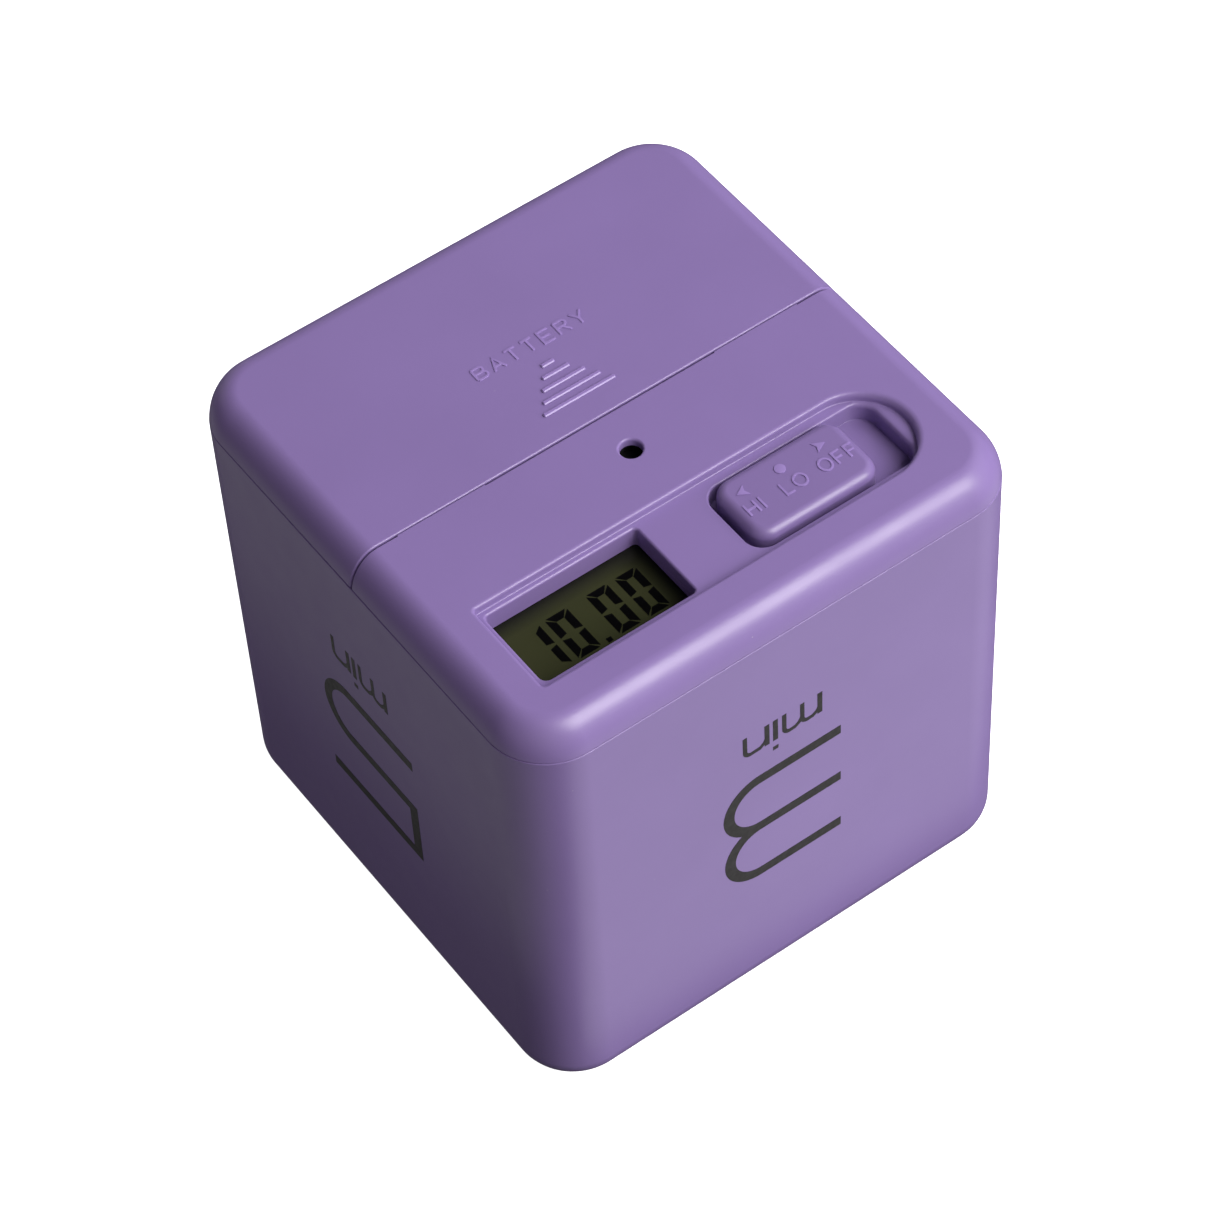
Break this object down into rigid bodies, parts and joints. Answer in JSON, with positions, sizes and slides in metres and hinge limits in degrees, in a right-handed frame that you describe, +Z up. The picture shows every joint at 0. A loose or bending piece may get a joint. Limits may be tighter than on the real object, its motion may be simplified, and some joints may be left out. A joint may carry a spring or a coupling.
{
  "type": "kitchen timer",
  "caption": "Cube kitchen timer: display and volume slider on top, sliding battery door, a preset time printed on each side face.",
  "frame": {"origin": "on the surface the timer stands on, under the middle of the cube", "axes": "+Z up through the display face, +X to the reader's right when the display is read, -Y the front face"},
  "size_m": [0.0636, 0.0636, 0.0635],
  "materials": {
    "purple_plastic": "satin moulded ABS",
    "white_plastic": "plain moulded ABS",
    "black_plastic": "moulded, satin",
    "brown_plastic": "phenolic, matt",
    "red_plastic": "wire insulation",
    "black_wire": "wire insulation",
    "foam": "closed-cell foam",
    "zebra_rubber": "layered silicone",
    "display_film": "polarising film",
    "display_glass": "clear",
    "circuit_board": "solder mask",
    "solder": "tinned",
    "spring_steel": "nickel plated",
    "brass": "drawn",
    "steel": "zinc plated",
    "copper": "enamelled wire",
    "cell_jacket": "printed metal jacket",
    "magnet": "bonded ferrite"
  },
  "bodies": {
    "root": {"battery_tray": "white_plastic", "black_lead": "black_wire", "board_screw_1": "steel", "board_screw_2": "steel", "board_screw_3": "steel", "body_shell": "purple_plastic", "boost_coil": "black_plastic", "bridge_contact": "spring_steel", "buzzer_base": "steel", "buzzer_case": "black_plastic", "buzzer_coil": "copper", "buzzer_diaphragm": "steel", "buzzer_gasket": "foam", "buzzer_magnet": "magnet", "buzzer_pin_1": "solder", "buzzer_pin_2": "solder", "cell_a": "cell_jacket", "cell_b": "cell_jacket", "chip_blob": "black_plastic", "chip_capacitor": "brown_plastic", "chip_resistor_1": "black_plastic", "chip_resistor_2": "black_plastic", "circuit_board": "circuit_board", "coil_winding": "copper", "crystal": "steel", "electrolytic_capacitor": "steel", "lcd_front_glass": "display_glass", "lcd_front_polariser": "display_film", "lcd_holder": "white_plastic", "lcd_rear_glass": "display_glass", "lcd_rear_polariser": "display_film", "lid_frame": "purple_plastic", "lid_screw_1": "steel", "lid_screw_2": "steel", "negative_contact": "spring_steel", "positive_contact": "spring_steel", "red_lead": "red_plastic", "switch_base": "brown_plastic", "switch_frame": "steel", "switch_terminal_1": "solder", "switch_terminal_2": "solder", "switch_terminal_3": "solder", "switch_terminal_4": "solder", "tilt_x_can": "brass", "tilt_x_core": "black_plastic", "tilt_x_lead_1": "solder", "tilt_x_lead_2": "solder", "tilt_y_can": "brass", "tilt_y_core": "black_plastic", "tilt_y_lead_1": "solder", "tilt_y_lead_2": "solder", "transistor": "black_plastic", "zebra_strip": "zebra_rubber"},
    "slider": {"slider_knob": "purple_plastic", "switch_carriage": "black_plastic", "switch_wiper": "brass"},
    "door": {"battery_door": "purple_plastic"},
    "ball_x": {"tilt_x_ball": "steel"},
    "ball_y": {"tilt_y_ball": "steel"}
  },
  "joints": [
    {"name": "slider_slide", "type": "slide", "parent": "root", "child": "slider", "axis": [1, 0, 0], "range_m": [0, 0.004]},
    {"name": "door_slide", "type": "slide", "parent": "root", "child": "door", "axis": [0, 1, 0], "range_m": [0, 0.036]},
    {"name": "ball_x_roll", "type": "slide", "parent": "root", "child": "ball_x", "axis": [1, 0, 0], "range_m": [-0.0017, 0.0017]},
    {"name": "ball_y_roll", "type": "slide", "parent": "root", "child": "ball_y", "axis": [0, 1, 0], "range_m": [-0.0017, 0.0017]}
  ]
}
